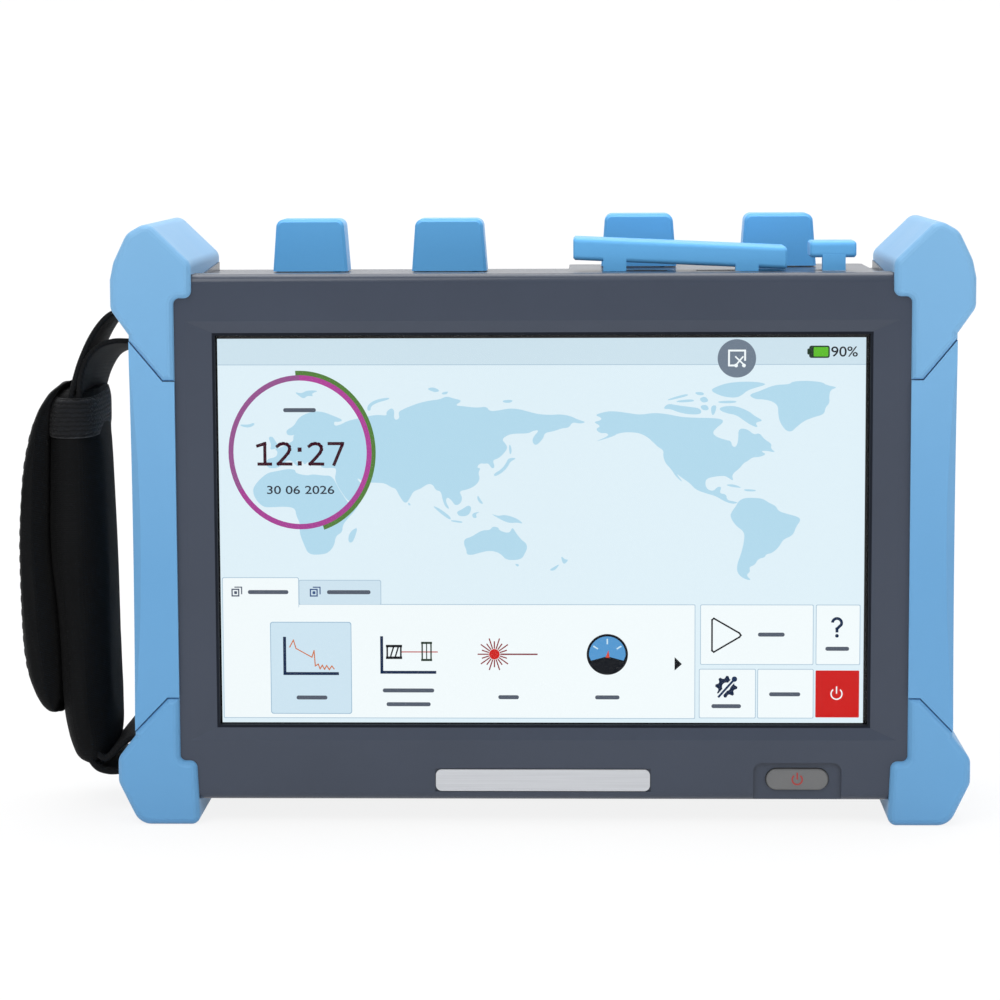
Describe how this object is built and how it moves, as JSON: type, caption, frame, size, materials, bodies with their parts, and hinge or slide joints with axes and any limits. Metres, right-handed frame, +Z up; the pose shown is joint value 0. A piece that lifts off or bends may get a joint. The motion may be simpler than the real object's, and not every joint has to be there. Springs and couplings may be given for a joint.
{
  "type": "optical time domain reflectometer",
  "caption": "Handheld fibre-optic test set with a landscape touch screen, corner bumpers, capped optical ports, rubber port flaps, hand strap and fold-out stand.",
  "frame": {"origin": "middle of the bounding box's underside: the instrument stands on its lower bumpers on z = 0, and the hand strap on the left counts in the box", "axes": "+Z up, +X to the right seen from the screen side, +Y from the screen to the back"},
  "size_m": [0.2592, 0.0688, 0.1638],
  "materials": {
    "housing": "fine matte moulding",
    "soft_guard": "smooth matte overmoulded rubber",
    "port_cover": "smooth soft rubber",
    "plated_metal": "nickel plated",
    "steel": "plain steel",
    "plate": "brushed",
    "module_metal": "cast and machined",
    "touch_glass": "clear, glossy",
    "display": "lit colour display",
    "board": "solder mask",
    "brass": "turned",
    "black_plastic": "matte",
    "gasket": "foam",
    "key": "translucent grey",
    "webbing": "woven nylon webbing",
    "strap_fabric": "padded woven nylon"
  },
  "bodies": {
    "case": {"battery_cover": "housing", "battery_pack": "black_plastic", "board_spacers": "brass", "bumper_bottom_left": "soft_guard", "bumper_bottom_right": "soft_guard", "bumper_top_left": "soft_guard", "bumper_top_right": "soft_guard", "cap_pins": "steel", "case_screws": "steel", "charging_socket": "black_plastic", "cover_screws": "steel", "flap_roots": "port_cover", "front_housing": "housing", "lan_socket": "steel", "lcd_panel": "display", "main_board": "board", "nameplate": "plate", "optical_adapter_1": "plated_metal", "optical_adapter_2": "plated_metal", "optical_adapter_3": "plated_metal", "optical_adapter_4": "plated_metal", "otdr_module": "module_metal", "port_plate": "housing", "power_switch": "black_plastic", "rail_left": "soft_guard", "rail_right": "soft_guard", "rear_housing": "housing", "screen_gasket": "gasket", "speaker": "black_plastic", "stand_pins": "steel", "strap_bar_bottom": "steel", "strap_bar_top": "steel", "strap_pad": "strap_fabric", "strap_webbing_bottom": "webbing", "strap_webbing_top": "webbing", "strap_wrap": "strap_fabric", "touch_panel": "touch_glass", "usb_socket": "steel"},
    "button": {"power_button": "key"},
    "long_cover": {"long_flap": "port_cover"},
    "small_cover": {"small_flap": "port_cover"},
    "stand": {"kickstand": "housing"},
    "cap_1": {"dust_cap_1": "port_cover"},
    "cap_2": {"dust_cap_2": "port_cover"},
    "cap_3": {"dust_cap_3": "port_cover"},
    "cap_4": {"dust_cap_4": "port_cover"}
  },
  "joints": [
    {"name": "power_button_press", "type": "slide", "parent": "case", "child": "button", "axis": [0, 1, 0], "range_m": [0, 0.0008], "stiffness_N_per_m": 800},
    {"name": "long_flap_hinge", "type": "hinge", "parent": "case", "child": "long_cover", "pos_m": [0.05155, -0.02, 0.1493], "axis": [1, 0, 0], "range_deg": [0, 88]},
    {"name": "small_flap_hinge", "type": "hinge", "parent": "case", "child": "small_cover", "pos_m": [0.09275, -0.02, 0.1493], "axis": [1, 0, 0], "range_deg": [0, 88]},
    {"name": "kickstand_hinge", "type": "hinge", "parent": "case", "child": "stand", "pos_m": [0.01435, 0.0299, 0.0995], "axis": [1, 0, 0], "range_deg": [0, 40]},
    {"name": "dust_cap_1_hinge", "type": "hinge", "parent": "case", "child": "cap_1", "pos_m": [-0.05105, 0.0274, 0.151], "axis": [-1, 0, 0], "range_deg": [0, 115]},
    {"name": "dust_cap_2_hinge", "type": "hinge", "parent": "case", "child": "cap_2", "pos_m": [-0.01215, 0.0274, 0.151], "axis": [-1, 0, 0], "range_deg": [0, 115]},
    {"name": "dust_cap_3_hinge", "type": "hinge", "parent": "case", "child": "cap_3", "pos_m": [0.04085, 0.0274, 0.1522], "axis": [-1, 0, 0], "range_deg": [0, 115]},
    {"name": "dust_cap_4_hinge", "type": "hinge", "parent": "case", "child": "cap_4", "pos_m": [0.07975, 0.0274, 0.1522], "axis": [-1, 0, 0], "range_deg": [0, 115]}
  ]
}
